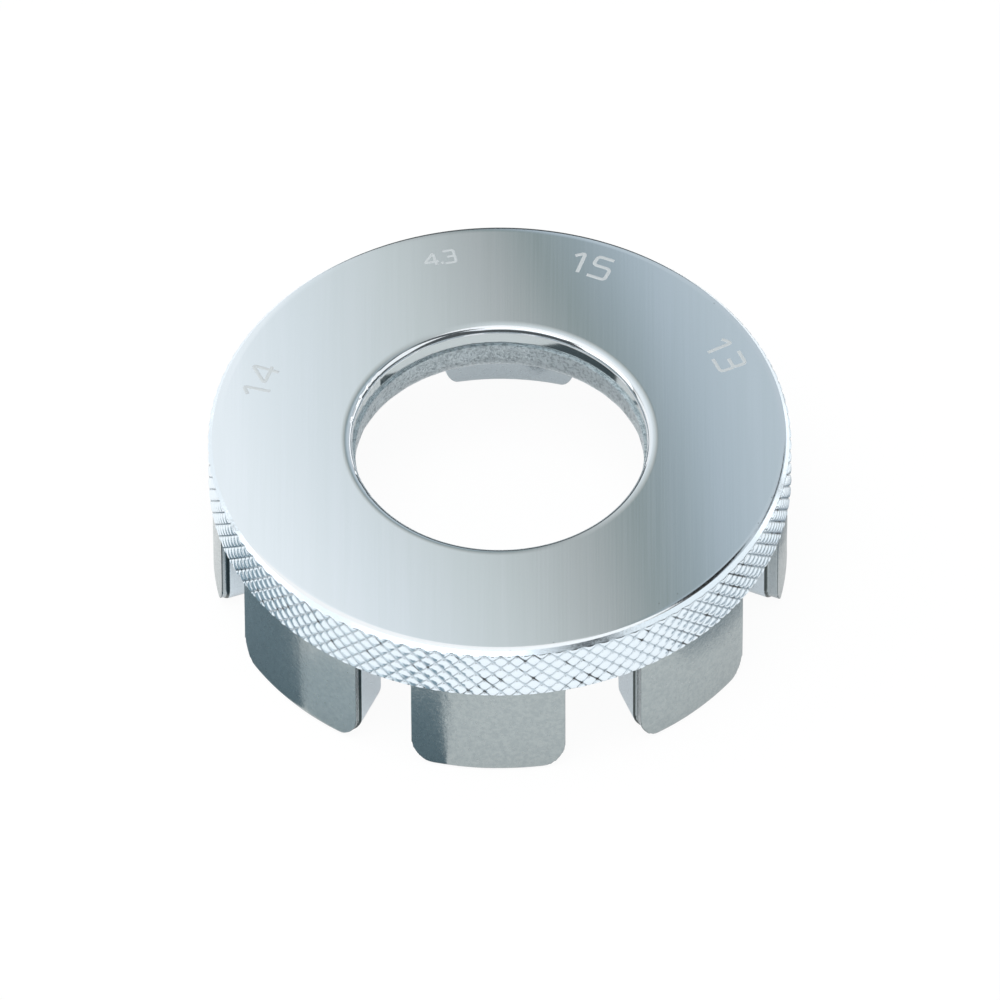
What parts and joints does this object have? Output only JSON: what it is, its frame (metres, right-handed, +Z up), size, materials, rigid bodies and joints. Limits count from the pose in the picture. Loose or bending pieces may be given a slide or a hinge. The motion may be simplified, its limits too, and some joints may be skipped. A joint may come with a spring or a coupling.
{
  "type": "spoke wrench",
  "caption": "Round spoke wrench: knurled steel ring with a central bore and a crown of jaws whose slots grip spoke nipples.",
  "frame": {"origin": "centre of the circle of the jaw tips, at the height of their lowest edge", "axes": "+Z up along the bore to the flat top face; +X through the slot for 13 gauge nipples, +Y through the slot for 4.3 mm nipples"},
  "size_m": [0.042, 0.042, 0.0128],
  "materials": {
    "brushed_face": "satin brushed and plated",
    "bright_knurl": "bright plated diamond knurl",
    "cast_plating": "plated over smooth as-cast metal"
  },
  "bodies": {
    "root": {"ring_plate": "brushed_face", "knurled_rim": "bright_knurl", "front_jaw": "cast_plating", "front_right_jaw": "cast_plating", "right_jaw": "cast_plating", "rear_right_jaw": "cast_plating", "rear_jaw": "cast_plating", "rear_left_jaw": "cast_plating", "left_jaw": "cast_plating", "front_left_jaw": "cast_plating"}
  },
  "joints": []
}
